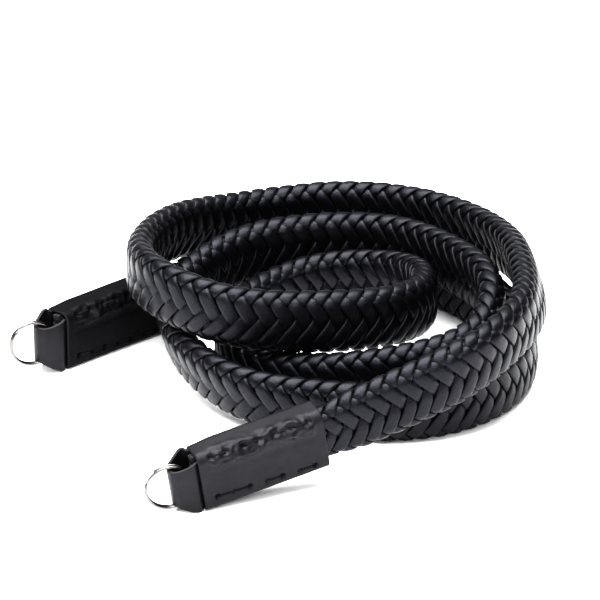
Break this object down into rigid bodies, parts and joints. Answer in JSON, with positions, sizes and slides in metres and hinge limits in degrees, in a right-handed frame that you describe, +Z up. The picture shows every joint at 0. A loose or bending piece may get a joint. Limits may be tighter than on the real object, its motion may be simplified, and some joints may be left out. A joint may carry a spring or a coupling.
{
  "type": "braided leather camera strap",
  "caption": "Flat braided black leather camera strap, coiled on edge, with a stitched leather sleeve, folded tab and steel split ring at each end.",
  "frame": {"origin": "on the table, under the middle of the object's box", "axes": "+Z is up, as the coil lies on a table; +Y runs from the near sleeve to the far side of the coil and is the longest extent; +X runs from the left sleeve's side to the right"},
  "size_m": [0.165, 0.177, 0.0436],
  "materials": {
    "braided_leather": "black leather laces in a flat herringbone braid, satin",
    "smooth_leather": "smooth black leather with black stitching, satin",
    "bright_steel": "bright polished steel"
  },
  "bodies": {
    "root": {"braided_strap": "braided_leather", "left_sleeve": "smooth_leather", "left_tab": "smooth_leather", "left_split_ring": "bright_steel", "near_sleeve": "smooth_leather", "near_tab": "smooth_leather", "near_split_ring": "bright_steel"}
  },
  "joints": []
}
